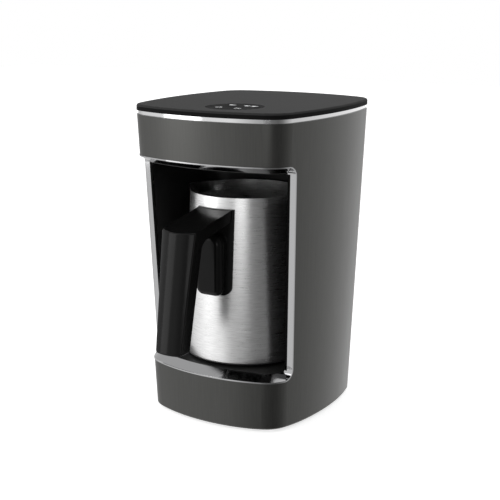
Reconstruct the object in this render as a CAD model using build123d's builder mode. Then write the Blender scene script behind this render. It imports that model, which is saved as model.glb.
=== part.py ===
from build123d import *
from math import acos, atan2, cos, degrees, radians, sin, sqrt, tan
import os

os.makedirs("parts", exist_ok=True)

# An electric Turkish coffee maker: a tapered tower with a cavity open to the front and to both
# front corners, a heated floor, and a steel pot with two pouring lips that is drawn out forwards.
# Millimetres. +Z is up, the front faces -Y, and Z = 0 is the worktop.

# ---------------------------------------------------------------- driving dimensions
# stance and heights
foot_height = 2.0          # air under the housing
total_height = 252.0       # crown of the control plate
plate_crown = 1.6          # the plate's middle stands this much above its edge
plate_thickness = 4.5      # control plate, from the band to its crown
band_height = 3.5          # bright band under the control plate
opening_low = 41.0         # outer edge of the bright frame round the cavity
opening_drop = 40.0        # from the plate's crown to the frame's upper edge

# body outline at the top, and how much each side leans in at the bottom
top_half_width = 77.3
top_half_depth = 85.6
taper_width = 8.3
taper_depth = 9.6
side_bulge = 6.0
front_bulge = 7.5
corner_radius = 22.8
shell_wall = 2.6
bottom_chamfer = 1.2
fit = 0.15                 # clearance between moulded pieces that plug together

# cavity opening and its frame
opening_setback = 30.3     # how far the opening wraps round each front corner
opening_corner = 8.5
bead = 1.1                 # width of the frame's outer bead
bead_proud = 0.5
reveal_height = 6.2        # the frame's sloping face, top and bottom
reveal_depth = 8.8
side_reveal = 6.3          # the frame's face at the sides
reveal_edge = 0.6          # blunts the sloping faces' inner edges
board_room = 42.6          # from the cavity's inner back wall to the housing's back
cavity_corner = 16.0
liner_wall = 2.0
ceiling_wall = 2.0
tray_top = 46.0
tray_wall = 2.0

# bright band and control plate
band_inset = 1.2
band_width = 3.0
plate_inset = 0.4
skirt_depth = 7.0
skirt_wall = 1.8
lens_x = 12.0
lens_y = -47.6             # from the body's centre
lens_radius = 23.0
lens_thickness = 2.7
lens_ledge = 1.5
key_pitch_x = 17.0         # the four lit touch keys
key_pitch_y = 19.0
key_guide_radius = 2.6
key_pad_radius = 4.6

# pot
pot_y = -12.3              # pot's axis, from the body's centre
pot_base_radius = 50.6
pot_rim_radius = 45.5
pot_room = 23.8            # from the pot's rim to the cavity's ceiling
pot_wall = 1.0
pot_edge = 2.0             # rounding at the foot of the pot
disc_thickness = 3.2       # heat-spreading disc bonded under the pot
disc_rim = 3.6             # steel left outside the disc
disc_stand = 0.3           # the disc stands this much below the steel
lip_height = 8.0           # the pouring lips flare over the last part of the wall
lip_stretch = 1.245        # how far a lip's flanks would meet, as a share of the rim's radius
lip_nose = 0.07            # rounding of a lip's tip, the same way
lip_nose_angle = 5.0
pot_gap = 0.05             # the pot stands this far above the hotplate

# handle of the pot
plate_top_drop = 8.8       # steel band left above the handle's plate
plate_height = 68.5
plate_half_width_top = 16.6
plate_half_width_low = 15.8
plate_corner = 7.0
plate_wall = 1.8
plate_gap = 0.1
root_reach = 40.0          # arm and pad start this far from the pot's axis, inside the plate
arm_root_rise = 1.0        # the arm's top would meet its root this far above the plate
arm_half_width = 15.5
arm_thickness = 8.0
arm_length = 58.8          # from its root to the outside of the bend
arm_drop = 11.3
grip_bottom_half_width = 11.7
grip_height = 91.9
grip_lean = 14.2
grip_bow = 4.5             # the grip's front bows forwards between its sides
grip_thickness = 14.0
grip_corner = 2.5
grip_edge = 1.2
grip_inner_bend = 9.0
pad_half_width = 12.0
pad_height = 50.3
pad_proud = 7.3
pad_top_corner = 9.0
pad_low_corner = 6.5
pad_edge = 5.0             # the pad's front runs round softly into its sides
pad_screw_height = 22.0    # from the plate's lower edge
arm_screw_drop = 5.5       # from the plate's upper edge
handle_screw_radius = 2.0
handle_screw_head = 4.0
handle_screw_head_height = 2.0
handle_screw_gap = 0.4     # room for the wall's curve under a flat screw head
handle_screw_length = 8.0
screw_reach = 56.5         # how deep the screws' holes go, from the pot's axis

# hotplate and what hangs under it
hotplate_inset = 6.6       # the pot's foot covers this much round the hotplate
hotplate_thickness = 6.0
hotplate_rise = 1.5        # hotplate above the tray
element_ring_radius = 30.0
element_width = 8.0
element_height = 6.0
element_open_angle = 50.0
hotplate_ledge = 2.5       # how far the flange stands out below the tray
hotplate_flange = 2.5      # the flange is held against the tray from below
element_pin_radius = 1.6
element_pin_low = 25.0
probe_radius = 6.0
probe_height = 4.5
spring_radius = 4.0
spring_wire = 0.5
spring_turns = 3
shield_wall = 0.8
shield_step = 1.6          # ledge that carries the hotplate's flange
shield_rim = 3.0
shield_floor = 29.0
fuse_radius = 2.2
fuse_length = 14.0
fuse_offset = 17.0

# base cover, feet and pillars
cover_recess = 0.6
cover_wall = 3.0
foot_radius = 8.5
foot_inset = 14.0          # feet stand this far inside the screw bosses
foot_stem_radius = 3.0
pillar_radius = 5.0
spigot_radius = 3.2
spigot_height = 1.0
boss_radius = 4.6
boss_height = 18.0
screw_radius = 1.5
screw_head_radius = 3.1
screw_head_height = 1.6
screw_length = 14.0
vent_width = 3.0
vent_length = 26.0
vent_pitch = 6.5
vent_count = 7

# boards and wiring behind and above the cavity
board_thickness = 1.6
board_width = 82.0
board_height = 92.0
board_low = 62.0
board_standoff = 5.0
standoff_radius = 3.5
control_board_width = 96.0
control_board_depth = 66.0
control_board_drop = 10.0  # from the plate's underside to the board
control_board_y = -38.0
post_radius = 3.2
board_screw_length = 5.5
relay_width = 19.0
relay_depth = 15.0
relay_height = 16.0
relay_left = 20.0          # from the board's middle
relay_rise = 46.0          # from the board's lower edge
terminal_width = 36.0
terminal_depth = 12.0
terminal_height = 10.0
terminal_low = 66.0
terminal_hole = 4.0
lead_radius = 1.2
lead_bend = 4.0
lead_low = 17.0
ribbon_width = 16.0
ribbon_thickness = 1.0
ribbon_bend = 5.0
ribbon_x = 20.0
ribbon_rise = 10.0         # the ribbon runs forward this far above the opening
ribbon_front_y = -14.0
socket_size = 6.0
socket_low = 140.0
buzzer_x = 30.0
buzzer_radius = 6.0
buzzer_height = 6.5

# rear panel, clipped into the housing's back
panel_half_width = 38.0
panel_drop = 30.0          # from the control plate's crown
panel_corner = 6.0
clip_width = 11.0          # the clips reach sideways behind the housing's wall
clip_reach = 4.0
clip_wall = 1.4
clip_height = 8.0
clip_low = 60.0
clip_drop = 22.0           # from the panel's upper edge to the highest clips

# mains inlet at the back
gland_z = 24.0
gland_hole_radius = 6.0
gland_bore_radius = 3.6
gland_flange_radius = 9.0
gland_flange = 2.4

gland_barrel = 8.0

# foam sensor over the pot
sensor_window_length = 22.0
sensor_window_width = 14.0
foam_board_length = 30.0
foam_board_width = 20.0
foam_height = 8.0

overcut = 10.0             # cuts run this far beyond what they open

# ---------------------------------------------------------------- worked-out places
band_high = total_height - plate_thickness
band_low = band_high - band_height
opening_high = total_height - opening_drop
lens_low = total_height - lens_thickness
cavity_back = top_half_depth - board_room
panel_high = total_height - panel_drop
clip_high = panel_high - clip_drop
clip_heights = (clip_low, (clip_low + clip_high) / 2, clip_high)
hotplate_radius = pot_base_radius - hotplate_inset
hotplate_flange_radius = hotplate_radius + hotplate_ledge
ribbon_high = opening_high + ribbon_rise
tray_low = tray_top - tray_wall
hotplate_top = tray_top + hotplate_rise
hotplate_low = hotplate_top - hotplate_thickness
pot_bottom = hotplate_top + pot_gap
ceiling = opening_high - reveal_height
pot_top = ceiling - pot_room
pot_height = pot_top - pot_bottom
lip_low = pot_top - lip_height
cover_low = foot_height + cover_recess
cover_top = cover_low + cover_wall
plate_top = pot_top - plate_top_drop
plate_low = plate_top - plate_height
arm_root_y = pot_y - root_reach
arm_root_top = plate_top + arm_root_rise
bend_y = arm_root_y - arm_length
grip_foot_y = bend_y - grip_lean
bend_top = arm_root_top - arm_drop
grip_low = bend_top - grip_height


# ---------------------------------------------------------------- shared geometry
def level(z):
    """Horizontal plane at height z, centred on the body."""
    return Plane((0, body_y, z))


def side_view(x=0.0):
    """Upright plane across X: local x runs to the back, local y up."""
    return Plane(origin=(x, body_y, 0), x_dir=(0, 1, 0), z_dir=(1, 0, 0))


def front_view(y=0.0):
    """Upright plane across Y: local x runs to the right, local y up, extrusion to the front."""
    return Plane(origin=(0, body_y + y, 0), x_dir=(1, 0, 0), z_dir=(0, -1, 0))


def half_width(z):
    return top_half_width - taper_width * (total_height - z) / (total_height - foot_height)


def half_depth(z):
    return top_half_depth - taper_depth * (total_height - z) / (total_height - foot_height)


def corner_x(z):
    """Centre of a body corner's rounding."""
    return half_width(z) - side_bulge - corner_radius


def corner_y(z):
    return half_depth(z) - front_bulge - corner_radius


def body_outline(z, inset=0.0, wider=0.0, back=None, back_corner=1.0):
    """Level section of the body, moved in by inset; back gives it a flat rear side."""
    cx, cy = corner_x(z) + wider, corner_y(z)
    with BuildSketch(level(z)) as outline:
        with BuildLine():
            SagittaArc((-cx, -cy), (cx, -cy), -front_bulge)
            SagittaArc((cx, -cy), (cx, cy), -side_bulge)
            SagittaArc((cx, cy), (-cx, cy), -front_bulge)
            SagittaArc((-cx, cy), (-cx, -cy), -side_bulge)
        make_face()
        offset(amount=corner_radius - inset)
        if back is not None:
            with Locations((0, back)):
                behind = (Align.CENTER, Align.MIN)
                Rectangle(4 * top_half_width, 4 * top_half_depth, align=behind, mode=Mode.SUBTRACT)
            fillet(vertices().sort_by(Axis.Y)[-2:], back_corner)
    return outline.sketch


def body_block(low, high, inset=0.0, wider=0.0, top_inset=None, top_wider=None, mode=Mode.ADD):
    """Tapered block of the body between two heights, with an inset at its bottom and its top."""
    top_inset = inset if top_inset is None else top_inset
    top_wider = wider if top_wider is None else top_wider
    sections = [body_outline(low, inset, wider), body_outline(high, top_inset, top_wider)]
    loft(sections, ruled=True, mode=mode)


def cavity_block(low, high, grow=0.0, mode=Mode.ADD):
    """Block of the cavity between two heights, grown outwards to its sides and its back."""
    inset, back, corner = reveal_depth - grow, cavity_back + grow, cavity_corner + grow
    sections = [body_outline(z, inset, core_wider, back, corner) for z in (low, high)]
    loft(sections, ruled=True, mode=mode)


def opening_edge(z, shift=0.0):
    """Where the opening ends on the body's sides, at height z."""
    return -half_depth(z) + opening_setback + shift


def opening_shape(margin, mode):
    """The opening seen from the side, grown by margin, cut right across the body."""
    low, high = opening_low - margin, opening_high + margin
    front = -top_half_depth - 3 * margin - 2 * overcut
    with BuildSketch(side_view()) as shape:
        with BuildLine():
            Polyline(
                (front, low),
                (opening_edge(low, margin), low),
                (opening_edge(high, margin), high),
                (front, high),
                close=True,
            )
        make_face()
        rear = vertices().sort_by(Axis.X)[-2:]
        fillet(rear, opening_corner + margin)
    extrude(shape.sketch, amount=top_half_width + overcut, both=True, mode=mode)


def panel_window(shrink, mode):
    """The window for the rear panel, open below, made smaller by shrink at its sides and top."""
    with BuildSketch(front_view(top_half_depth + 1)) as window:
        with Locations((0, panel_high - shrink)):
            Rectangle(2 * (panel_half_width - shrink), 2 * panel_high, align=(Align.CENTER, Align.MAX))
        fillet(vertices().group_by(Axis.Y)[-1], panel_corner)
    extrude(window.sketch, amount=top_half_depth, mode=mode)


def back_face(x, z):
    """How far back the housing's rear face is, to the side of its middle."""
    return half_depth(z) - x**2 / (corner_x(z) ** 2 / front_bulge + front_bulge + 2 * corner_radius)


def keep_behind_opening(low, high):
    """Keep what lies behind the opening's rear edges, between two heights."""
    rear = top_half_depth
    with BuildSketch(side_view()) as behind:
        with BuildLine():
            Polyline(
                (opening_edge(low, fit), low),
                (opening_edge(high, fit), high),
                (rear, high),
                (rear, low),
                close=True,
            )
        make_face()
    extrude(behind.sketch, amount=top_half_width, both=True, mode=Mode.INTERSECT)


def crown_cut():
    """Trim the part to the control plate's gently domed top."""
    with Locations((0, body_y, total_height - crown_radius)):
        Sphere(crown_radius, rotation=(90, 0, 0), mode=Mode.INTERSECT)


def pot_radius(z):
    """Outer radius of the pot's wall at height z."""
    return pot_base_radius - (pot_base_radius - pot_rim_radius) * (z - pot_bottom) / pot_height


def pot_cone(low, high, grow, mode=Mode.ADD):
    """Cone along the pot's wall between two heights, grown outwards."""
    with BuildSketch(side_view()) as half:
        with BuildLine():
            Polyline(
                (pot_y, low),
                (pot_y + pot_radius(low) + grow, low),
                (pot_y + pot_radius(high) + grow, high),
                (pot_y, high),
                close=True,
            )
        make_face()
    revolve(half.sketch, axis=pot_axis, mode=mode)


def cylinder_at(x, y, z, radius, height, mode=Mode.ADD):
    """Upright cylinder; x and y are from the body's centre."""
    with BuildSketch(level(z)) as disc:
        with Locations((x, y)):
            Circle(radius)
    extrude(disc.sketch, amount=height, mode=mode)


def box_at(x, y, z, width, depth, height, mode=Mode.ADD):
    """Box centred on x and y, standing on z."""
    with BuildSketch(level(z)) as base:
        with Locations((x, y)):
            Rectangle(width, depth)
    extrude(base.sketch, amount=height, mode=mode)


def corner_spots(x, y):
    return [(sx * x, sy * y) for sx in (-1, 1) for sy in (-1, 1)]


# the origin is the middle of the whole footprint, from the grip's foot to the housing's back
lean_angle = atan2(grip_lean, grip_height)
handle_front = grip_foot_y + grip_edge * (tan(lean_angle) + 1 / cos(lean_angle) - 1)
body_y = (-handle_front - half_depth(band_low)) / 2

# bosses for the base screws stand on the diagonal of each body corner
boss_reach = (corner_radius - shell_wall - boss_radius) / sqrt(2)
boss_x = corner_x(cover_low) + boss_reach
boss_y = corner_y(cover_low) + boss_reach
pillar_x = half_width(tray_top) - reveal_depth - 2.6 * pillar_radius
pillar_front_y = 3.4 - corner_y(tray_top)
pillar_back_y = cavity_back - 2.4 * pillar_radius
pillar_spots = [(sx * pillar_x, y) for sx in (-1, 1) for y in (pillar_front_y, pillar_back_y)]
foot_spots = corner_spots(boss_x - foot_inset, boss_y - foot_inset)

# the heating ring is open at the back, where its two pins turn down
gap_angle = radians(element_open_angle / 2)
gap_x = 2 * element_ring_radius * sin(gap_angle)
gap_y = pot_y + 2 * element_ring_radius * cos(gap_angle)
pin_angle = gap_angle + element_width / 2 / element_ring_radius
pin_x = element_ring_radius * sin(pin_angle)
pin_y = pot_y + element_ring_radius * cos(pin_angle)
element_low = hotplate_low - element_height
pin_length = element_low - element_pin_low
shield_inner = hotplate_flange_radius + fit
shield_top = tray_low
lead_spots = [(side * pin_x, pin_y) for side in (-1, 1)]

# boards: the power board hangs behind the cavity, the control board under the plate
board_front_y = cavity_back + liner_wall + board_standoff
board_back_y = board_front_y + board_thickness
lead_y = board_back_y + terminal_depth / 2
board_screw_x = board_width / 2 - 6
board_screw_z = (board_low + 6, board_low + board_height - 6)
power_board_spots = [(x, z) for x in (-board_screw_x, board_screw_x) for z in board_screw_z]
control_board_top = band_high - control_board_drop
control_board_low = control_board_top - board_thickness
post_x = control_board_width / 2 - 5
post_y = control_board_depth / 2 - 5
post_spots = [(sx * post_x, control_board_y + sy * post_y) for sx in (-1, 1) for sy in (-1, 1)]
key_spots = [
    (lens_x + sx * key_pitch_x / 2, lens_y + sy * key_pitch_y / 2) for sx in (-1, 1) for sy in (-1, 1)
]
core_wider = reveal_depth - side_reveal
crown_radius = (top_half_depth**2 + plate_crown**2) / (2 * plate_crown)
pot_axis = Axis((0, body_y + pot_y, 0), (0, 0, 1))


# ---------------------------------------------------------------- housing
with BuildPart() as outer_housing:
    body_block(foot_height, band_low)
    chamfer(faces().sort_by(Axis.Z)[0].edges(), bottom_chamfer)
    body_block(foot_height - 1, band_low + 1, inset=shell_wall, mode=Mode.SUBTRACT)
    opening_shape(0, Mode.SUBTRACT)
    panel_window(0, Mode.SUBTRACT)
    # screw bosses, each tied to its corner by a rib
    for x, y in corner_spots(boss_x, boss_y):
        cylinder_at(x, y, cover_top, boss_radius, boss_height)
        with BuildSketch(level(cover_top)):
            with Locations(Location((x, y), degrees(atan2(y, x)))):
                Rectangle(boss_radius + shell_wall, shell_wall, align=(Align.MIN, Align.CENTER))
        extrude(amount=boss_height)
        cylinder_at(x, y, cover_top, screw_radius + 0.05, boss_height - 2, mode=Mode.SUBTRACT)
outer_housing.part.label = "outer_housing"
export_step(outer_housing.part, "parts/outer_housing.step")

with BuildPart() as rear_panel:
    body_block(foot_height, band_low)
    chamfer(faces().sort_by(Axis.Z)[0].edges(), bottom_chamfer)
    body_block(foot_height - 1, band_low + 1, inset=shell_wall, mode=Mode.SUBTRACT)
    panel_window(fit, Mode.INTERSECT)
    # clips on its sides: a foot on the panel, and a finger that grips behind the housing's wall
    for z in clip_heights:
        finger_end = panel_half_width + clip_reach
        finger_y = back_face(finger_end, z) - shell_wall - 2 * fit - clip_wall / 2
        clip_foot = clip_width - clip_reach - 1
        foot_depth = back_face(panel_half_width, z) - shell_wall / 2 - finger_y
        for side in (-1, 1):
            box_at(side * (finger_end - clip_width / 2), finger_y, z, clip_width, clip_wall, clip_height)
            foot_x = side * (finger_end - clip_width + clip_foot / 2)
            box_at(foot_x, finger_y + foot_depth / 2, z, clip_foot, foot_depth, clip_height)
    # hole for the mains inlet
    with BuildSketch(front_view(half_depth(gland_z) + 1)):
        with Locations((0, gland_z)):
            Circle(gland_hole_radius + fit)
    extrude(amount=2 * shell_wall + front_bulge, mode=Mode.SUBTRACT)
rear_panel.part.label = "rear_panel"
export_step(rear_panel.part, "parts/rear_panel.step")

# ---------------------------------------------------------------- base cover
with BuildPart() as base_cover:
    body_block(cover_low, cover_top, inset=shell_wall + fit)
    for x, y in pillar_spots:
        cylinder_at(x, y, cover_top, pillar_radius, tray_low - cover_top)
        cylinder_at(x, y, tray_low, spigot_radius, spigot_height)
    for x, y in corner_spots(boss_x, boss_y):
        cylinder_at(x, y, cover_low, screw_radius + 0.2, cover_wall, mode=Mode.SUBTRACT)
        cylinder_at(x, y, cover_low, screw_head_radius + 0.3, screw_head_height, mode=Mode.SUBTRACT)
    for x, y in foot_spots:
        cylinder_at(x, y, cover_low, foot_stem_radius, cover_wall, mode=Mode.SUBTRACT)
    with BuildSketch(level(cover_low)):
        with GridLocations(0, vent_pitch, 1, vent_count):
            SlotOverall(vent_length, vent_width)
    extrude(amount=cover_wall, mode=Mode.SUBTRACT)
base_cover.part.label = "base_cover"
export_step(base_cover.part, "parts/base_cover.step")

with BuildPart() as rubber_feet:
    for x, y in foot_spots:
        cylinder_at(x, y, 0, foot_radius, cover_low)
        cylinder_at(x, y, cover_low, foot_stem_radius - 0.02, cover_wall)
    chamfer(edges().group_by(Axis.Z)[0], 0.6)
rubber_feet.part.label = "rubber_feet"
export_step(rubber_feet.part, "parts/rubber_feet.step")

with BuildPart() as base_screws:
    for x, y in corner_spots(boss_x, boss_y):
        cylinder_at(x, y, cover_low + 0.1, screw_head_radius, screw_head_height - 0.1)
        cylinder_at(x, y, cover_low + screw_head_height, screw_radius, screw_length)
        cylinder_at(x, y, cover_low + 0.1, screw_radius, 0.9, mode=Mode.SUBTRACT)
base_screws.part.label = "base_screws"
export_step(base_screws.part, "parts/base_screws.step")

# ---------------------------------------------------------------- cavity
with BuildPart() as cavity_liner:
    cavity_block(tray_top, ceiling + ceiling_wall, liner_wall)
    keep_behind_opening(tray_top, ceiling + ceiling_wall)
    cavity_block(ceiling, ceiling + ceiling_wall, -fit)
    cavity_block(tray_top, ceiling, 0, mode=Mode.SUBTRACT)
    # seats for the power board on the back wall
    with BuildSketch(front_view(cavity_back + liner_wall + board_standoff)):
        with Locations(*power_board_spots):
            Circle(standoff_radius)
    extrude(amount=board_standoff + liner_wall / 2)
    with BuildSketch(front_view(cavity_back + liner_wall + board_standoff)):
        with Locations(*power_board_spots):
            Circle(screw_radius)
    extrude(amount=board_standoff, mode=Mode.SUBTRACT)
    box_at(0, pot_y, ceiling, sensor_window_length, sensor_window_width, ceiling_wall, Mode.SUBTRACT)
cavity_liner.part.label = "cavity_liner"
export_step(cavity_liner.part, "parts/cavity_liner.step")

with BuildPart() as floor_tray:
    cavity_block(tray_low, tray_top, liner_wall)
    keep_behind_opening(tray_low, tray_top)
    cavity_block(tray_low, tray_top, -fit)
    cylinder_at(0, pot_y, tray_low, hotplate_radius + fit, tray_wall, Mode.SUBTRACT)
    for x, y in pillar_spots:
        cylinder_at(x, y, tray_low, spigot_radius + 0.05, spigot_height + 0.05, Mode.SUBTRACT)
floor_tray.part.label = "floor_tray"
export_step(floor_tray.part, "parts/floor_tray.step")

with BuildPart() as chrome_frame:
    # a bead along the whole opening, carried inwards as a flat strip at the sides
    opening_shape(0, Mode.ADD)
    opening_shape(-bead, Mode.SUBTRACT)
    body_block(opening_low, opening_high, -bead_proud, mode=Mode.INTERSECT)
    # sloping reveals along the bottom and the top
    inner = reveal_depth + reveal_edge
    body_block(opening_low + bead, opening_low + reveal_height, 0, 0, inner, core_wider)
    body_block(ceiling, opening_high - bead, inner, core_wider, 0, 0)
    opening_shape(-fit / 2, Mode.INTERSECT)
    body_block(opening_low - 1, opening_high + 1, reveal_depth, core_wider, mode=Mode.SUBTRACT)
chrome_frame.part.label = "chrome_frame"
export_step(chrome_frame.part, "parts/chrome_frame.step")

# ---------------------------------------------------------------- heater
with BuildPart() as hotplate:
    cylinder_at(0, pot_y, hotplate_low, hotplate_flange_radius, hotplate_flange)
    cylinder_at(0, pot_y, hotplate_low, hotplate_radius, hotplate_thickness)
    chamfer(edges().group_by(Axis.Z)[-1], 0.5)
hotplate.part.label = "hotplate"
export_step(hotplate.part, "parts/hotplate.step")

with BuildPart() as heating_element:
    with BuildSketch(level(hotplate_low)):
        with Locations((0, pot_y)):
            Circle(element_ring_radius + element_width / 2)
            Circle(element_ring_radius - element_width / 2, mode=Mode.SUBTRACT)
        with BuildLine():
            Polyline((0, pot_y), (gap_x, gap_y), (-gap_x, gap_y), close=True)
        make_face(mode=Mode.SUBTRACT)
    extrude(amount=-element_height)
    for side in (-1, 1):
        cylinder_at(side * pin_x, pin_y, element_pin_low, element_pin_radius, pin_length)
heating_element.part.label = "heating_element"
export_step(heating_element.part, "parts/heating_element.step")

with BuildPart() as temperature_sensor:
    cylinder_at(0, pot_y, hotplate_low - probe_height, probe_radius, probe_height)
temperature_sensor.part.label = "temperature_sensor"
export_step(temperature_sensor.part, "parts/temperature_sensor.step")

with BuildPart() as sensor_spring:
    coil_height = hotplate_low - probe_height - shield_floor - shield_wall - spring_wire * 2
    coil_low = shield_floor + shield_wall + spring_wire
    with BuildLine(level(coil_low).offset(0)):
        Helix(coil_height / spring_turns, coil_height, spring_radius, center=(0, pot_y))
    with BuildSketch(Plane(origin=(spring_radius, body_y + pot_y, coil_low), z_dir=(0, 1, 0))):
        Circle(spring_wire)
    sweep(is_frenet=True)
sensor_spring.part.label = "sensor_spring"
export_step(sensor_spring.part, "parts/sensor_spring.step")

with BuildPart() as thermal_fuse:
    with BuildSketch(front_view(pot_y - fuse_offset)):
        with Locations((0, hotplate_low - fuse_radius)):
            Circle(fuse_radius)
    extrude(amount=fuse_length / 2, both=True)
thermal_fuse.part.label = "thermal_fuse"
export_step(thermal_fuse.part, "parts/thermal_fuse.step")

with BuildPart() as heat_shield:
    with BuildSketch(side_view()):
        with BuildLine():
            Polyline(
                (pot_y, shield_floor),
                (pot_y + shield_inner - shield_step, shield_floor),
                (pot_y + shield_inner - shield_step, hotplate_low - shield_wall),
                (pot_y + shield_inner + shield_wall, hotplate_low - shield_wall),
                (pot_y + shield_inner + shield_wall, shield_top - shield_wall),
                (pot_y + shield_inner + shield_rim, shield_top - shield_wall),
                (pot_y + shield_inner + shield_rim, shield_top),
                (pot_y + shield_inner, shield_top),
                (pot_y + shield_inner, hotplate_low),
                (pot_y + shield_inner - shield_step - shield_wall, hotplate_low),
                (pot_y + shield_inner - shield_step - shield_wall, shield_floor + shield_wall),
                (pot_y, shield_floor + shield_wall),
                close=True,
            )
        make_face()
    revolve(axis=pot_axis)
    for x, y in lead_spots:
        cylinder_at(x, y, shield_floor, 2.5 * element_pin_radius, shield_wall, Mode.SUBTRACT)
heat_shield.part.label = "heat_shield"
export_step(heat_shield.part, "parts/heat_shield.step")

# ---------------------------------------------------------------- top of the housing
with BuildPart() as chrome_band:
    body_block(band_low, band_high, band_inset)
    body_block(band_low - 1, band_high + 1, band_inset + band_width, mode=Mode.SUBTRACT)
chrome_band.part.label = "chrome_band"
export_step(chrome_band.part, "parts/chrome_band.step")

with BuildPart() as control_plate:
    body_block(band_high, total_height, plate_inset)
    crown_cut()
    body_block(band_high - skirt_depth, band_high, band_inset + band_width + fit)
    body_block(
        band_high - skirt_depth, band_high, band_inset + band_width + fit + skirt_wall, mode=Mode.SUBTRACT
    )
    cylinder_at(lens_x, lens_y, band_high, lens_radius - lens_ledge, overcut, Mode.SUBTRACT)
    cylinder_at(lens_x, lens_y, lens_low, lens_radius + fit / 2, overcut, Mode.SUBTRACT)
    for x, y in post_spots:
        cylinder_at(x, y, control_board_top, post_radius, control_board_drop)
        cylinder_at(x, y, control_board_top, screw_radius, control_board_drop - 1, Mode.SUBTRACT)
control_plate.part.label = "control_plate"
export_step(control_plate.part, "parts/control_plate.step")

with BuildPart() as touch_window:
    cylinder_at(lens_x, lens_y, lens_low, lens_radius, total_height - lens_low)
    crown_cut()
touch_window.part.label = "touch_window"
export_step(touch_window.part, "parts/touch_window.step")

with BuildPart() as key_light_guides:
    for x, y in key_spots:
        cylinder_at(x, y, control_board_top, key_guide_radius, lens_low - control_board_top)
key_light_guides.part.label = "key_light_guides"
export_step(key_light_guides.part, "parts/key_light_guides.step")

with BuildPart() as touch_pads:
    for x, y in key_spots:
        cylinder_at(x, y, control_board_top, key_pad_radius, lens_low - control_board_top)
        cylinder_at(x, y, control_board_top, key_guide_radius + 0.1, 2 * overcut, Mode.SUBTRACT)
touch_pads.part.label = "touch_pads"
export_step(touch_pads.part, "parts/touch_pads.step")

with BuildPart() as control_board:
    box_at(0, control_board_y, control_board_low, control_board_width, control_board_depth, board_thickness)
    for x, y in post_spots:
        cylinder_at(x, y, control_board_low, screw_radius + 0.1, board_thickness, Mode.SUBTRACT)
control_board.part.label = "control_board"
export_step(control_board.part, "parts/control_board.step")

with BuildPart() as buzzer:
    cylinder_at(-buzzer_x, control_board_y, control_board_low - buzzer_height, buzzer_radius, buzzer_height)
    cylinder_at(-buzzer_x, control_board_y, control_board_low - buzzer_height, 1.5, 1.5, Mode.SUBTRACT)
buzzer.part.label = "buzzer"
export_step(buzzer.part, "parts/buzzer.step")

# ---------------------------------------------------------------- behind and above the cavity
with BuildPart() as power_board:
    with BuildSketch(front_view(board_back_y)):
        with Locations((0, board_low + board_height / 2)):
            Rectangle(board_width, board_height)
        with Locations(*power_board_spots):
            Circle(screw_radius + 0.1, mode=Mode.SUBTRACT)
    extrude(amount=board_thickness)
power_board.part.label = "power_board"
export_step(power_board.part, "parts/power_board.step")

with BuildPart() as board_screws:
    with BuildSketch(front_view(board_back_y + screw_head_height)):
        with Locations(*power_board_spots):
            Circle(screw_head_radius)
    extrude(amount=screw_head_height)
    with BuildSketch(front_view(board_back_y)):
        with Locations(*power_board_spots):
            Circle(screw_radius - 0.05)
    extrude(amount=board_screw_length)
    for x, y in post_spots:
        cylinder_at(x, y, control_board_low - screw_head_height, screw_head_radius, screw_head_height)
        cylinder_at(x, y, control_board_low, screw_radius - 0.05, board_screw_length)
board_screws.part.label = "board_screws"
export_step(board_screws.part, "parts/board_screws.step")

with BuildPart() as relay:
    box_at(
        -relay_left, board_back_y + relay_depth / 2, board_low + relay_rise, relay_width, relay_depth, relay_height
    )
relay.part.label = "relay"
export_step(relay.part, "parts/relay.step")

with BuildPart() as terminal_block:
    box_at(0, board_back_y + terminal_depth / 2, terminal_low, terminal_width, terminal_depth, terminal_height)
    for x, y in lead_spots:
        cylinder_at(x, lead_y, terminal_low, lead_radius + 0.3, terminal_hole, Mode.SUBTRACT)
terminal_block.part.label = "terminal_block"
export_step(terminal_block.part, "parts/terminal_block.step")

with BuildPart() as heater_leads:
    for x, y in lead_spots:
        with BuildLine():
            FilletPolyline(
                (x, body_y + lead_y, terminal_low + terminal_hole - 0.1),
                (x, body_y + lead_y, lead_low),
                (x, body_y + y, lead_low),
                (x, body_y + y, element_pin_low),
                radius=lead_bend,
            )
        with BuildSketch(Plane(origin=(x, body_y + lead_y, terminal_low + terminal_hole - 0.1))):
            Circle(lead_radius)
        sweep()
heater_leads.part.label = "heater_leads"
export_step(heater_leads.part, "parts/heater_leads.step")

with BuildPart() as ribbon_sockets:
    box_at(ribbon_x, board_back_y + socket_size / 2, socket_low, ribbon_width + 4, socket_size, socket_size)
    box_at(ribbon_x, ribbon_front_y, control_board_low - socket_size, ribbon_width + 4, socket_size, socket_size)
ribbon_sockets.part.label = "ribbon_sockets"
export_step(ribbon_sockets.part, "parts/ribbon_sockets.step")

with BuildPart() as ribbon_cable:
    with BuildSketch(side_view(ribbon_x)):
        with BuildLine():
            FilletPolyline(
                (board_back_y + socket_size / 2, socket_low + socket_size),
                (board_back_y + socket_size / 2, ribbon_high),
                (ribbon_front_y, ribbon_high),
                (ribbon_front_y, control_board_low - socket_size),
                radius=ribbon_bend,
            )
        trace(line_width=ribbon_thickness)
    extrude(amount=ribbon_width / 2, both=True)
ribbon_cable.part.label = "ribbon_cable"
export_step(ribbon_cable.part, "parts/ribbon_cable.step")

with BuildPart() as cord_gland:
    gland_face = half_depth(gland_z + gland_flange_radius) + 0.1
    with BuildSketch(front_view(gland_face + gland_flange)):
        with Locations((0, gland_z)):
            Circle(gland_flange_radius)
    extrude(amount=gland_flange)
    with BuildSketch(front_view(gland_face)):
        with Locations((0, gland_z)):
            Circle(gland_hole_radius)
    extrude(amount=gland_barrel)
    with BuildSketch(front_view(gland_face + gland_flange)):
        with Locations((0, gland_z)):
            Circle(gland_bore_radius)
    extrude(amount=gland_flange + gland_barrel, mode=Mode.SUBTRACT)
cord_gland.part.label = "cord_gland"
export_step(cord_gland.part, "parts/cord_gland.step")

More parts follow.
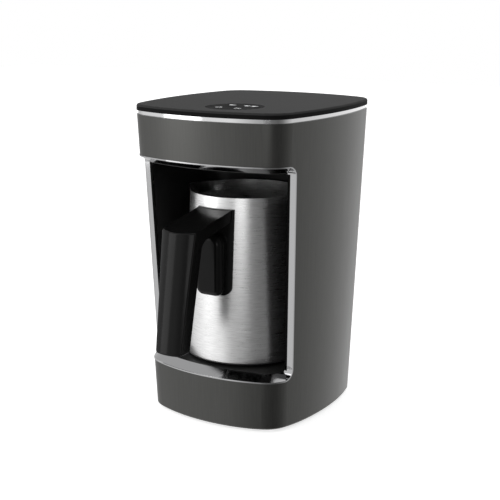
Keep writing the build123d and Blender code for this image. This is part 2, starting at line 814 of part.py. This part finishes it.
with BuildPart() as sensor_window:
    box_at(0, pot_y, ceiling, sensor_window_length - fit, sensor_window_width - fit, ceiling_wall)
sensor_window.part.label = "sensor_window"
export_step(sensor_window.part, "parts/sensor_window.step")

with BuildPart() as foam_sensor:
    box_at(0, pot_y, ceiling + ceiling_wall, foam_board_length, foam_board_width, foam_height)
foam_sensor.part.label = "foam_sensor"
export_step(foam_sensor.part, "parts/foam_sensor.step")

# ---------------------------------------------------------------- pot
disc_radius = pot_base_radius - disc_rim
disc_top = pot_bottom + disc_thickness
pad_front_y = pot_y - pot_base_radius - pad_proud
pad_screw_z = plate_low + pad_screw_height
arm_screw_z = plate_top - arm_screw_drop
grip_inner_y = bend_y + grip_thickness
lip_touch = degrees(acos(1 / lip_stretch))


def rim_point(radius, angle, side=1):
    """Point of a circle round the pot's axis, at an angle from the X axis on one side."""
    return (side * radius * cos(radians(angle)), pot_y + radius * sin(radians(angle)))


def pot_outline(z, radius, lips):
    """Level outline of the pot, split alike with and without its two pouring lips."""
    tip_x, tip_y = rim_point(radius, lip_nose_angle)
    nose_x = radius
    if lips:
        flank = radians(90 - lip_touch)
        cut = radius * lip_nose / tan(flank)
        tip_x = radius * lip_stretch - cut * cos(flank)
        tip_y = pot_y + cut * sin(flank)
        nose_x = radius * (lip_stretch - lip_nose * (1 / sin(flank) - 1))
    with BuildSketch(level(z)) as outline:
        with BuildLine():
            for side in (-1, 1):
                rear_tip, front_tip = (side * tip_x, tip_y), (side * tip_x, 2 * pot_y - tip_y)
                rear, front = rim_point(radius, lip_touch, side), rim_point(radius, -lip_touch, side)
                ThreePointArc(rear_tip, (side * nose_x, pot_y), front_tip)
                if lips:
                    Line(rear, rear_tip)
                    Line(front_tip, front)
                else:
                    middle = (lip_touch + lip_nose_angle) / 2
                    ThreePointArc(rear, rim_point(radius, middle, side), rear_tip)
                    ThreePointArc(front_tip, rim_point(radius, -middle, side), front)
                start, end = (rim_point(radius, side * lip_touch, other) for other in (1, -1))
                ThreePointArc(start, (0, pot_y + side * radius), end)
        make_face()
    return outline.sketch


def pot_lips(grow, mode):
    """The top of the pot, from the round wall to the rim with its lips, grown outwards."""
    round_outline = pot_outline(lip_low, pot_radius(lip_low) + grow, False)
    rim_outline = pot_outline(pot_top, pot_radius(pot_top) + grow, True)
    loft([round_outline, rim_outline], ruled=True, mode=mode)


def screw_hole(z, radius, reach):
    """Hole for a handle screw, forwards from the pot's axis."""
    with BuildSketch(front_view(pot_y)) as hole:
        with Locations((0, z)):
            Circle(radius)
    extrude(hole.sketch, amount=reach, mode=Mode.SUBTRACT)


with BuildPart() as pot_body:
    pot_cone(pot_bottom, lip_low, 0)
    fillet(edges().group_by(Axis.Z)[0], pot_edge)
    pot_lips(0, Mode.ADD)
    pot_cone(disc_top + pot_wall, lip_low, -pot_wall, Mode.SUBTRACT)
    pot_lips(-pot_wall, Mode.SUBTRACT)
    cylinder_at(0, pot_y, pot_bottom, disc_radius, disc_thickness, Mode.SUBTRACT)
    cylinder_at(0, pot_y, pot_bottom, 2 * pot_base_radius, disc_stand, Mode.SUBTRACT)
    for z in (pad_screw_z, arm_screw_z):
        screw_hole(z, handle_screw_radius + 0.1, 2 * pot_base_radius)
pot_body.part.label = "pot_body"
export_step(pot_body.part, "parts/pot_body.step")

with BuildPart() as pot_base:
    cylinder_at(0, pot_y, pot_bottom, disc_radius, disc_thickness)
    chamfer(edges().group_by(Axis.Z)[0], disc_stand)
pot_base.part.label = "pot_base"
export_step(pot_base.part, "parts/pot_base.step")

# ---------------------------------------------------------------- handle of the pot
with BuildPart() as handle_plate:
    # the pad behind the fingers, an arched block with a soft front
    with BuildSketch(front_view(arm_root_y)):
        with Locations((0, plate_low + pad_height / 2)):
            Rectangle(2 * pad_half_width, pad_height)
        fillet(vertices().group_by(Axis.Y)[0], pad_low_corner)
        fillet(vertices().group_by(Axis.Y)[-1], pad_top_corner)
    extrude(amount=arm_root_y - pad_front_y)
    fillet(faces().sort_by(Axis.Y)[0].edges(), pad_edge)
    # the plate, a piece of the pot's own cone
    pot_cone(plate_low, plate_top, plate_gap + plate_wall)
    pot_cone(plate_low - 1, plate_top + 1, plate_gap, Mode.SUBTRACT)
    with BuildSketch(front_view(pot_y)):
        with BuildLine():
            Polyline(
                (-plate_half_width_top, plate_top),
                (plate_half_width_top, plate_top),
                (plate_half_width_low, plate_low),
                (-plate_half_width_low, plate_low),
                close=True,
            )
        make_face()
        fillet(vertices().group_by(Axis.Y)[0], plate_corner)
    extrude(amount=2 * pot_base_radius, mode=Mode.INTERSECT)
    screw_hole(pad_screw_z, handle_screw_radius, screw_reach)
    screw_hole(arm_screw_z, handle_screw_radius + 0.1, 2 * pot_base_radius)
handle_plate.part.label = "handle_plate"
export_step(handle_plate.part, "parts/handle_plate.step")

with BuildPart() as handle:
    with BuildSketch(side_view()):
        with BuildLine():
            Polyline(
                (bend_y - grip_bow, bend_top - grip_bow * arm_drop / arm_length),
                (grip_foot_y - grip_bow, grip_low),
                (grip_foot_y + grip_thickness, grip_low),
                (grip_inner_y, bend_top - arm_thickness),
                (arm_root_y, plate_top - arm_thickness),
                (arm_root_y, arm_root_top),
                close=True,
            )
        make_face()
        fillet(vertices().sort_by_distance((grip_inner_y, bend_top - arm_thickness))[0], grip_inner_bend)
    extrude(amount=arm_half_width, both=True)
    with BuildSketch(front_view()):
        with BuildLine():
            Polyline(
                (-arm_half_width, plate_top),
                (arm_half_width, plate_top),
                (grip_bottom_half_width, grip_low),
                (-grip_bottom_half_width, grip_low),
                close=True,
            )
        make_face()
        fillet(vertices().group_by(Axis.Y)[0], grip_corner)
    extrude(amount=3 * top_half_depth, mode=Mode.INTERSECT)
    # the bowed front, carried down along the grip's lean
    with BuildSketch(level(2 * bend_top - grip_low)) as bow:
        with BuildLine():
            ThreePointArc(
                (-arm_half_width, bend_y + grip_lean + grip_bow),
                (0, bend_y + grip_lean),
                (arm_half_width, bend_y + grip_lean + grip_bow),
            )
            Polyline(
                (arm_half_width, bend_y + grip_lean + grip_bow),
                (arm_half_width, 3 * top_half_depth),
                (-arm_half_width, 3 * top_half_depth),
                (-arm_half_width, bend_y + grip_lean + grip_bow),
            )
        make_face()
    extrude(bow.sketch, amount=3 * grip_height, dir=(0, -grip_lean, -grip_height), mode=Mode.INTERSECT)
    fillet(faces().sort_by(Axis.Y)[0].edges(), grip_edge)
    pot_cone(plate_low, plate_top + 2 * arm_root_rise, plate_gap + plate_wall + 0.05, Mode.SUBTRACT)
    screw_hole(arm_screw_z, handle_screw_radius, screw_reach)
handle.part.label = "handle"
export_step(handle.part, "parts/handle.step")

with BuildPart() as handle_screws:
    for z in (pad_screw_z, arm_screw_z):
        with BuildSketch(front_view(pot_y - pot_radius(z) + pot_wall + handle_screw_gap)):
            with Locations((0, z)):
                Circle(handle_screw_head)
        extrude(amount=-handle_screw_head_height)
        with BuildSketch(front_view(pot_y - pot_radius(z) + pot_wall + handle_screw_gap)):
            with Locations((0, z)):
                Circle(handle_screw_radius - 0.05)
        extrude(amount=handle_screw_length)
handle_screws.part.label = "handle_screws"
export_step(handle_screws.part, "parts/handle_screws.step")
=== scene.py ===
from math import cos, radians, sin

import bmesh
import bpy
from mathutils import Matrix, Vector
from mathutils.geometry import convex_hull_2d


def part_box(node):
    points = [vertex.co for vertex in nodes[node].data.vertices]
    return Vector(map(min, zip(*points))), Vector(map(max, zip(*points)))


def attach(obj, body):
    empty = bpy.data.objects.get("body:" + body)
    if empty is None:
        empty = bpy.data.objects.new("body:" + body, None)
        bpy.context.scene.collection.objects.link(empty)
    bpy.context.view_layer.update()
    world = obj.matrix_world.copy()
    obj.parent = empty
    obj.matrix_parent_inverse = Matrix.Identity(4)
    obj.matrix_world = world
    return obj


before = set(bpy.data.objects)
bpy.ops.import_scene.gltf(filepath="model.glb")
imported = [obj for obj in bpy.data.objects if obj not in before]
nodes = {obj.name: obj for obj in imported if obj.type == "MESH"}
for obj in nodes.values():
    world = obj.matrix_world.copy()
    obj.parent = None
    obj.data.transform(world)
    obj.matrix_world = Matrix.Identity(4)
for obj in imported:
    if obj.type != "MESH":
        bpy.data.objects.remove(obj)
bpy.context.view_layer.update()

# ---------------------------------------------------------------- places read from the frame
BODY = "machine"
MM = 0.001
lid_low, lid_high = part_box("control_plate")
BODY_Y = (lid_low[1] + lid_high[1]) / 2

# the lid's skin: how far it stands out, its foot and its top, and its rim's rounding
SKIN_OVERHANG = 0.35 * MM
SKIN_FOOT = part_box("chrome_band")[1][2] - 0.2 * MM
SKIN_TOP = lid_high[2] + 0.02 * MM
RIM_ROUND = 1.6 * MM
RIM_STEPS = 8
LAYER = 0.02 * MM             # each printed or inlaid face lies this much above the last
WINDOW_STEPS = 96

# ---------------------------------------------------------------- camera and studio
CAMERA_AZIMUTH = 32.23        # degrees to the right of the front
CAMERA_PITCH = 13.23          # degrees that it looks down
CAMERA_PLACE = (482.55 * MM, BODY_Y - 772.24 * MM, 342.2 * MM)
SENSOR_WIDTH = 36.0
FOCAL_SHARE = 1124.5 / 500    # focal length as a share of the picture's width

# how bright the studio is by direction: degrees from the front, turning to the right
STUDIO = (
    (-90, 0.8),
    (-60, 0.98),
    (-14, 1.02),
    (4, 0.42),
    (20, 0.23),
    (65, 0.15),
    (82, 0.23),
    (100, 0.45),
    (130, 0.8),
    (150, 1.0),
    (190, 1.35),
    (230, 0.7),
)
FRONT_STOP = 0.25             # the front's place on the studio's colour ramp

FLOOR_REACH = 3.0
FLOOR_GLOW = 0.7

# area lights: name, place, width and height, watts; all aim at the middle of the machine
LIGHTS_AIM = (0, BODY_Y, 0.13)
LIGHTS = (
    ("key_left", (-1.0, BODY_Y - 1.1, 0.5), (0.7, 1.3), 5),
    ("steel_streak", (0.55, BODY_Y - 1.38, 0.17), (0.6, 0.38), 1.5),
)

# sockets of a Mix node that mixes colours; their names are shared with other kinds
MIX_COLOR_A, MIX_COLOR_B, MIX_COLOR_RESULT = 6, 7, 2

# ---------------------------------------------------------------- numbers of the materials
NOISE_LOW, NOISE_HIGH = 0.3, 0.7      # the part of a noise's range that carries its pattern
METAL_SPREAD = (-0.06, 0.08)          # how far the roughness strays from its middle
MOULDING_SPREAD = (-0.05, 0.06)

# the frame's chrome tone is darker than the band's: painted shade on a copy of the same chrome
FRAME_SHADE_TONE = (0.43, 0.43, 0.435)
MARGIN_TONE = 0.004
# inner edge of the frame's flat side strips, in metres: it leans outwards with the housing
STRIP_INNER = 0.05675
STRIP_SLOPE = 0.0331
STRIP_MARGIN = 0.0022
STRIP_FRONT = -0.04
STRIP_FACING = -0.98          # the strips look straight to the front

# the lid's tone follows how far its surface faces up: painted light on the upward faces, painted
# shade on the steep sides
LID_EDGE_SHADE_TONE, LID_TOP_LIT_TONE = 0.006, 0.038
LID_EDGE_TILT, LID_TOP_TILT = 0.02, 0.12      # upward share of the normal at the two tones

# ---------------------------------------------------------------- signs, in millimetres
KEY_X, KEY_Y = 8.5, 9.5       # the four keys, from the window's middle
CUP_RIM, CUP_FOOT = 2.3, 1.5  # half widths
CUP_HIGH, CUP_LOW = 1.7, -1.9
CUP_DROP = -0.6
CUP_APART = 3.2
CUP_STEPS = 10
EAR_HIGH = 0.2
EAR_INNER, EAR_OUTER = 0.7, 1.3
EAR_TURN = 80
STEAM_APART = 1.8
STEAM_HALF_WIDTH, STEAM_REACH = 0.4, 2.2
POWER_INNER, POWER_OUTER = 2.0, 2.7
POWER_START, POWER_END = 115, 425     # degrees; the gap is at the top
POWER_STEPS = 20
POWER_HALF_WIDTH, POWER_LOW, POWER_HIGH = 0.35, 0.3, 3.2


# ---------------------------------------------------------------- camera
def add_camera():
    """A slightly raised view from the front right of the housing, as a product is shown."""
    azimuth, pitch = radians(CAMERA_AZIMUTH), radians(CAMERA_PITCH)
    back = Vector((sin(azimuth) * cos(pitch), -cos(azimuth) * cos(pitch), sin(pitch)))
    camera = bpy.data.objects.new("camera", bpy.data.cameras.new("camera"))
    bpy.context.scene.collection.objects.link(camera)
    camera.location = CAMERA_PLACE
    camera.rotation_euler = (-back).to_track_quat("-Z", "Y").to_euler()
    camera.data.sensor_width = SENSOR_WIDTH
    camera.data.lens = FOCAL_SHARE * SENSOR_WIDTH
    bpy.context.scene.camera = camera
    bpy.context.scene.view_settings.view_transform = "Standard"


# ---------------------------------------------------------------- material helpers
def grey(value):
    """A colour with three equal parts."""
    return (value, value, value)


def new_material(name, color, roughness, metallic=0.0, **sockets):
    """A Principled material; other sockets are given by name, with _ for a space."""
    material = bpy.data.materials.new(name)
    material.use_nodes = True
    shader = material.node_tree.nodes["Principled BSDF"]
    shader.inputs["Base Color"].default_value = (*color, 1)
    shader.inputs["Roughness"].default_value = roughness
    shader.inputs["Metallic"].default_value = metallic
    for socket, value in sockets.items():
        shader.inputs[socket.replace("_", " ")].default_value = value
    return material


def noise(material, scale, detail, stretch=(1, 1, 1)):
    """Noise on Object coordinates, stretched along the axes; returns its value socket."""
    tree = material.node_tree
    place = tree.nodes.new("ShaderNodeTexCoord")
    mapping = tree.nodes.new("ShaderNodeMapping")
    texture = tree.nodes.new("ShaderNodeTexNoise")
    mapping.inputs["Scale"].default_value = stretch
    texture.inputs["Scale"].default_value = scale
    texture.inputs["Detail"].default_value = detail
    tree.links.new(place.outputs["Object"], mapping.inputs["Vector"])
    tree.links.new(mapping.outputs["Vector"], texture.inputs["Vector"])
    return texture.outputs["Fac"]


def vary_roughness(material, value, low, high):
    """Spreads a noise's value over a range of roughness."""
    tree = material.node_tree
    ramp = tree.nodes.new("ShaderNodeMapRange")
    ramp.inputs["From Min"].default_value = NOISE_LOW
    ramp.inputs["From Max"].default_value = NOISE_HIGH
    ramp.inputs["To Min"].default_value = low
    ramp.inputs["To Max"].default_value = high
    shader = tree.nodes["Principled BSDF"]
    tree.links.new(value, ramp.inputs["Value"])
    tree.links.new(ramp.outputs["Result"], shader.inputs["Roughness"])


def tint(material, value, low, high, low_at=NOISE_LOW, high_at=NOISE_HIGH):
    """Colours the shader between two tones by a value socket."""
    tree = material.node_tree
    ramp = tree.nodes.new("ShaderNodeValToRGB")
    ramp.color_ramp.elements[0].position = low_at
    ramp.color_ramp.elements[1].position = high_at
    ramp.color_ramp.elements[0].color = (*low, 1)
    ramp.color_ramp.elements[1].color = (*high, 1)
    shader = tree.nodes["Principled BSDF"]
    tree.links.new(value, ramp.inputs["Fac"])
    tree.links.new(ramp.outputs["Color"], shader.inputs["Base Color"])


def bump(material, value, depth, strength):
    """Raises the surface by a value socket; the depth is in metres."""
    tree = material.node_tree
    node = tree.nodes.new("ShaderNodeBump")
    node.inputs["Strength"].default_value = strength
    node.inputs["Distance"].default_value = depth
    tree.links.new(value, node.inputs["Height"])
    tree.links.new(node.outputs["Normal"], tree.nodes["Principled BSDF"].inputs["Normal"])


def math_node(tree, operation, first, second):
    """A Math node of two sockets or numbers; returns its value socket."""
    node = tree.nodes.new("ShaderNodeMath")
    node.operation = operation
    for socket, value in zip(node.inputs, (first, second)):
        if isinstance(value, (int, float)):
            socket.default_value = value
        else:
            tree.links.new(value, socket)
    return node.outputs["Value"]


def axis_parts(tree, vector):
    """The X, Y and Z sockets of a vector socket."""
    parts = tree.nodes.new("ShaderNodeSeparateXYZ")
    tree.links.new(vector, parts.inputs["Vector"])
    return parts.outputs


def surface_normal(tree):
    """The X, Y and Z sockets of the surface's normal."""
    surface = tree.nodes.new("ShaderNodeNewGeometry")
    return axis_parts(tree, surface.outputs["Normal"])


# ---------------------------------------------------------------- materials
def anthracite_metal():
    """Satin lacquered sheet with a very fine upright grain."""
    material = new_material("anthracite_metal", (0.075, 0.075, 0.0715), 0.34, metallic=0.8)
    grain = noise(material, scale=900, detail=3, stretch=(1, 1, 0.02))
    tint(material, grain, low=(0.071, 0.071, 0.0675), high=(0.079, 0.079, 0.0755))
    vary_roughness(material, grain, low=0.32, high=0.37)
    bump(material, grain, depth=0.00002, strength=0.15)
    return material


def chrome(name, color):
    """Bright plating with a faint haze."""
    material = new_material(name, color, 0.06, metallic=1.0)
    vary_roughness(material, noise(material, scale=60, detail=2), low=0.05, high=0.1)
    return material


def shaded_frame_chrome():
    """Chrome of the frame, a darker copy of the band's chrome: painted shade. Its flat side strips
    end in a narrow black margin.
    """
    material = chrome("shaded_frame_chrome", FRAME_SHADE_TONE)
    tree = material.node_tree
    facing = surface_normal(tree)
    spot = axis_parts(tree, tree.nodes.new("ShaderNodeTexCoord").outputs["Object"])
    across = math_node(tree, "ABSOLUTE", spot["X"], 0.0)
    widening = math_node(tree, "MULTIPLY", spot["Z"], STRIP_SLOPE)
    inward = math_node(tree, "SUBTRACT", across, widening)
    margin = math_node(tree, "LESS_THAN", inward, STRIP_INNER + STRIP_MARGIN)
    behind = math_node(tree, "GREATER_THAN", spot["Y"], STRIP_FRONT)
    flat = math_node(tree, "LESS_THAN", facing["Y"], STRIP_FACING)
    black = math_node(tree, "MULTIPLY", math_node(tree, "MULTIPLY", margin, behind), flat)
    tint(material, black, low=FRAME_SHADE_TONE, high=grey(MARGIN_TONE))
    return material


def lid_plastic():
    """Fine-textured plastic, grey where it faces up and black on its steep sides: painted light
    and shade by the surface's tilt.
    """
    material = new_material("lid_plastic", grey(0.03), 0.7, Specular_IOR_Level=0.08)
    texture = noise(material, scale=2600, detail=2)
    vary_roughness(material, texture, low=0.66, high=0.74)
    bump(material, texture, depth=0.00004, strength=0.3)
    upward = surface_normal(material.node_tree)["Z"]
    tones = grey(LID_EDGE_SHADE_TONE), grey(LID_TOP_LIT_TONE)
    tint(material, upward, *tones, LID_EDGE_TILT, LID_TOP_TILT)
    return material


def gloss_black():
    """Glossy black moulding with a faint ripple in its polish."""
    material = new_material("gloss_black", grey(0.006), 0.16, IOR=1.23)
    vary_roughness(material, noise(material, scale=45, detail=1), low=0.13, high=0.2)
    return material


def brushed_steel():
    """Steel brushed round its axis: fine level lines and a slow drift of tone."""
    material = new_material("brushed_steel", grey(0.8), 0.3, metallic=1.0)
    lines = noise(material, scale=2000, detail=4, stretch=(0.05, 0.05, 1))
    tint(material, lines, low=grey(0.7), high=grey(0.9))
    vary_roughness(material, lines, low=0.26, high=0.36)
    bump(material, lines, depth=0.00002, strength=0.25)
    return material


def smoked_window():
    """Near-black window; it hardly reflects, so it stays dark at a low view."""
    material = new_material("smoked_window", grey(0.003), 0.25, IOR=1.01)
    vary_roughness(material, noise(material, scale=80, detail=1), low=0.22, high=0.28)
    return material


def metal(name, color, roughness):
    """Plain metal with a fine grain."""
    material = new_material(name, color, roughness, metallic=1.0)
    texture = noise(material, scale=700, detail=3)
    low, high = (roughness + stray for stray in METAL_SPREAD)
    vary_roughness(material, texture, low, high)
    bump(material, texture, depth=0.00002, strength=0.3)
    return material


def moulding(name, color, roughness, grain=1500, **sockets):
    """Moulded plastic, rubber or ceramic with a fine texture."""
    material = new_material(name, color, roughness, **sockets)
    texture = noise(material, scale=grain, detail=2)
    low, high = (roughness + stray for stray in MOULDING_SPREAD)
    vary_roughness(material, texture, low, high)
    bump(material, texture, depth=0.00003, strength=0.3)
    return material


def lit_sign():
    """Cool white print, lit a little from behind."""
    material = new_material(
        "lit_sign", grey(0.8), 0.4, Emission_Color=(0.85, 0.88, 0.92, 1), Emission_Strength=0.35
    )
    vary_roughness(material, noise(material, scale=900, detail=2), low=0.35, high=0.45)
    return material


def dress(material, *names):
    """Gives CAD nodes a material."""
    for name in names:
        mesh = nodes[name].data
        mesh.materials.clear()
        mesh.materials.append(material)


def dress_nodes(lid_material, window_material):
    """Gives every CAD node its material."""
    moulded = moulding("black_moulding", grey(0.012), 0.5, grain=1800)
    zinc = metal("zinc_steel", grey(0.6), 0.35)
    dress(anthracite_metal(), "outer_housing", "rear_panel")
    # the band's chrome is a lighter copy of the frame's chrome: painted light
    dress(chrome("lit_band_chrome", (0.66, 0.66, 0.665)), "chrome_band")
    dress(shaded_frame_chrome(), "chrome_frame")
    dress(lid_material, "control_plate")
    dress(window_material, "touch_window", "sensor_window")
    dress(moulding("cavity_black", grey(0.012), 0.5, grain=1800), "cavity_liner", "floor_tray")
    dress(moulding("hotplate_black", grey(0.016), 0.36, grain=1800), "hotplate")
    dress(moulded, "base_cover", "buzzer", "foam_sensor")
    dress(moulding("rubber", grey(0.018), 0.75), "rubber_feet", "cord_gland")
    dress(zinc, "base_screws", "board_screws", "handle_screws", "sensor_spring", "heat_shield")
    dress(brushed_steel(), "pot_body")
    dress(metal("disc_aluminium", grey(0.62), 0.4), "pot_base")
    dress(gloss_black(), "handle", "handle_plate")
    dress(metal("sheathed_steel", grey(0.3), 0.5), "heating_element")
    dress(metal("brass", (0.6, 0.45, 0.22), 0.35), "temperature_sensor")
    ceramic = moulding("ceramic", (0.75, 0.73, 0.68), 0.55)
    dress(ceramic, "thermal_fuse", "terminal_block", "ribbon_sockets")
    clear = moulding("clear_moulding", grey(0.8), 0.2, Transmission_Weight=0.6)
    dress(clear, "key_light_guides")
    dress(moulding("pad_foam", grey(0.12), 0.85), "touch_pads")
    dress(moulding("board_green", (0.02, 0.14, 0.06), 0.45), "control_board", "power_board")
    dress(moulding("relay_blue", (0.02, 0.05, 0.22), 0.35), "relay")
    dress(moulding("silicone_red", (0.4, 0.02, 0.02), 0.6), "heater_leads")
    dress(moulding("ribbon_grey", grey(0.45), 0.4), "ribbon_cable")


# ---------------------------------------------------------------- objects made here
def new_object(name, bm, material):
    """Turns a bmesh into an object in the scene, and returns it."""
    mesh = bpy.data.meshes.new(name)
    bm.to_mesh(mesh)
    bm.free()
    mesh.materials.append(material)
    thing = bpy.data.objects.new(name, mesh)
    bpy.context.scene.collection.objects.link(thing)
    return thing


def add_piece(name, bm, material):
    """Turns a bmesh into an object that rides with the machine."""
    thing = new_object(name, bm, material)
    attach(thing, BODY)


# ---------------------------------------------------------------- lid's skin and window's face
def lid_outline():
    """The lid's outline seen from above, point by point, with the outward direction at each."""
    plate = nodes["control_plate"]
    spots = [(plate.matrix_world @ vert.co).to_2d() for vert in plate.data.vertices]
    ring = [spots[i] for i in convex_hull_2d(spots)]
    middle = sum(ring, Vector((0, 0))) / len(ring)
    outward = []
    for i, point in enumerate(ring):
        along = ring[(i + 1) % len(ring)] - ring[i - 1]
        across = Vector((along.y, -along.x)).normalized()
        outward.append(across if across.dot(point - middle) > 0 else -across)
    return ring, outward


def skin_profile():
    """The skin's edge from its foot to its flat top: how far it reaches out, and its height."""
    profile = [(SKIN_OVERHANG, SKIN_FOOT)]
    for step in range(RIM_STEPS + 1):
        angle = radians(90 * step / RIM_STEPS)
        reach = SKIN_OVERHANG - RIM_ROUND * (1 - cos(angle))
        height = SKIN_TOP - RIM_ROUND * (1 - sin(angle))
        profile.append((reach, height))
    return profile


def add_lid_skin(material):
    """A skin over the lid that is flat on top, with a rounded rim."""
    ring, outward = lid_outline()
    bm = bmesh.new()
    rows = []
    for reach, height in skin_profile():
        spots = [point + away * reach for point, away in zip(ring, outward)]
        rows.append([bm.verts.new((*spot, height)) for spot in spots])
    for low, high in zip(rows, rows[1:]):
        for i in range(len(ring)):
            bm.faces.new((low[i - 1], low[i], high[i], high[i - 1]))
    bm.faces.new(rows[-1])
    bmesh.ops.recalc_face_normals(bm, faces=bm.faces)
    add_piece("lid_skin", bm, material)


def add_window_face(material):
    """The black round window, flush in the lid's skin; returns its middle."""
    low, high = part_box("touch_window")
    middle = Vector(((low[0] + high[0]) / 2, (low[1] + high[1]) / 2, SKIN_TOP + LAYER))
    radius = (high[0] - low[0]) / 2
    bm = bmesh.new()
    bmesh.ops.create_circle(bm, cap_ends=True, segments=WINDOW_STEPS, radius=radius)
    bmesh.ops.translate(bm, vec=middle, verts=bm.verts)
    add_piece("window_face", bm, material)
    return middle


# ---------------------------------------------------------------- lit signs on the window
def flat_face(bm, points):
    """A flat face through points given anticlockwise."""
    bm.faces.new([bm.verts.new((x, y, 0)) for x, y in points])


def flat_bar(bm, x, half_width, low, high):
    """An upright bar."""
    left, right = x - half_width, x + half_width
    flat_face(bm, [(left, low), (right, low), (right, high), (left, high)])


def flat_arc(bm, center, inner, outer, start, end, steps):
    """A part of a flat ring, between two angles in degrees."""
    rows = []
    for i in range(steps + 1):
        angle = radians(start + (end - start) * i / steps)
        spots = [(center[0] + r * cos(angle), center[1] + r * sin(angle)) for r in (inner, outer)]
        rows.append([bm.verts.new((*spot, 0)) for spot in spots])
    for here, there in zip(rows, rows[1:]):
        bm.faces.new((here[0], here[1], there[1], there[0]))


def cup(bm, x):
    """A cup seen from its side, with its ear at the right."""
    high, low = CUP_DROP + CUP_HIGH, CUP_DROP + CUP_LOW
    foot = [(x - CUP_FOOT, low), (x + CUP_FOOT, low)]
    rim = [(x + CUP_RIM, high), (x - CUP_RIM, high)]
    flat_face(bm, foot + rim)
    ear = (x + CUP_RIM, CUP_DROP + EAR_HIGH)
    flat_arc(bm, ear, EAR_INNER, EAR_OUTER, -EAR_TURN, EAR_TURN, CUP_STEPS)


def sign_one_cup(bm):
    cup(bm, 0)


def sign_two_cups(bm):
    cup(bm, -CUP_APART)
    cup(bm, CUP_APART)


def sign_steam(bm):
    for x in (-STEAM_APART, 0, STEAM_APART):
        flat_bar(bm, x, STEAM_HALF_WIDTH, -STEAM_REACH, STEAM_REACH)


def sign_on_off(bm):
    flat_arc(bm, (0, 0), POWER_INNER, POWER_OUTER, POWER_START, POWER_END, POWER_STEPS)
    flat_bar(bm, 0, POWER_HALF_WIDTH, POWER_LOW, POWER_HIGH)


SIGNS = (
    ("sign_on_off", sign_on_off, -KEY_X, -KEY_Y),
    ("sign_one_cup", sign_one_cup, -KEY_X, KEY_Y),
    ("sign_steam", sign_steam, KEY_X, -KEY_Y),
    ("sign_two_cups", sign_two_cups, KEY_X, KEY_Y),
)


def add_signs(middle):
    """Four plain signs printed on the window, over its four keys."""
    material = lit_sign()
    for name, draw, x, y in SIGNS:
        bm = bmesh.new()
        draw(bm)
        for vert in bm.verts:
            vert.co = middle + Vector(((x + vert.co.x) * MM, (y + vert.co.y) * MM, LAYER))
        add_piece(name, bm, material)


# ---------------------------------------------------------------- stage and light
def floor_material():
    """White to the camera with a faint shadow; gloss looks through it to the studio around."""
    material = new_material(
        "white_floor", grey(0.85), 0.95, Specular_IOR_Level=0.0, Emission_Color=(1, 1, 1, 1)
    )
    tree = material.node_tree
    shader = tree.nodes["Principled BSDF"]
    path = tree.nodes.new("ShaderNodeLightPath")
    glow = math_node(tree, "MULTIPLY", path.outputs["Is Camera Ray"], FLOOR_GLOW)
    tree.links.new(glow, shader.inputs["Emission Strength"])
    clear = tree.nodes.new("ShaderNodeBsdfTransparent")
    mix = tree.nodes.new("ShaderNodeMixShader")
    tree.links.new(path.outputs["Is Glossy Ray"], mix.inputs[0])
    tree.links.new(shader.outputs[0], mix.inputs[1])
    tree.links.new(clear.outputs[0], mix.inputs[2])
    tree.links.new(mix.outputs[0], tree.nodes["Material Output"].inputs["Surface"])
    return material


def add_stage():
    """A white floor under the machine."""
    bm = bmesh.new()
    bmesh.ops.create_grid(bm, x_segments=1, y_segments=1, size=FLOOR_REACH)
    floor = new_object("floor", bm, floor_material())


def add_world():
    """White to the camera; as light, bright on the left and behind the right side, dim between."""
    world = bpy.data.worlds.new("studio")
    bpy.context.scene.world = world
    world.use_nodes = True
    tree = world.node_tree
    background = tree.nodes["Background"]
    place = tree.nodes.new("ShaderNodeTexCoord")
    around = tree.nodes.new("ShaderNodeTexGradient")
    around.gradient_type = "RADIAL"
    ramp = tree.nodes.new("ShaderNodeValToRGB")
    tree.links.new(place.outputs["Generated"], around.inputs["Vector"])
    tree.links.new(around.outputs["Fac"], ramp.inputs["Fac"])
    stops = sorted(((FRONT_STOP + angle / 360) % 1.0, level) for angle, level in STUDIO)
    elements = ramp.color_ramp.elements
    while len(elements) < len(stops):
        elements.new(0.5)
    for element, (position, level) in zip(elements, stops):
        element.position = position
        element.color = (*grey(level), 1)
    path = tree.nodes.new("ShaderNodeLightPath")
    mix = tree.nodes.new("ShaderNodeMix")
    mix.data_type = "RGBA"
    tree.links.new(path.outputs["Is Camera Ray"], mix.inputs["Factor"])
    tree.links.new(ramp.outputs["Color"], mix.inputs[MIX_COLOR_A])
    mix.inputs[MIX_COLOR_B].default_value = (1, 1, 1, 1)
    tree.links.new(mix.outputs[MIX_COLOR_RESULT], background.inputs["Color"])
    background.inputs["Strength"].default_value = 1.0


def add_area(name, place, size, power):
    """A rectangular light that aims at the machine."""
    light = bpy.data.lights.new(name, "AREA")
    light.shape = "RECTANGLE"
    light.size, light.size_y = size
    light.energy = power
    lamp = bpy.data.objects.new(name, light)
    bpy.context.scene.collection.objects.link(lamp)
    lamp.location = place
    aim = Vector(LIGHTS_AIM) - Vector(place)
    lamp.rotation_euler = aim.to_track_quat("-Z", "Y").to_euler()


add_camera()
add_stage()
add_world()
for light_row in LIGHTS:
    add_area(*light_row)
lid_look = lid_plastic()
window_look = smoked_window()
dress_nodes(lid_look, window_look)
add_lid_skin(lid_look)
add_signs(add_window_face(window_look))
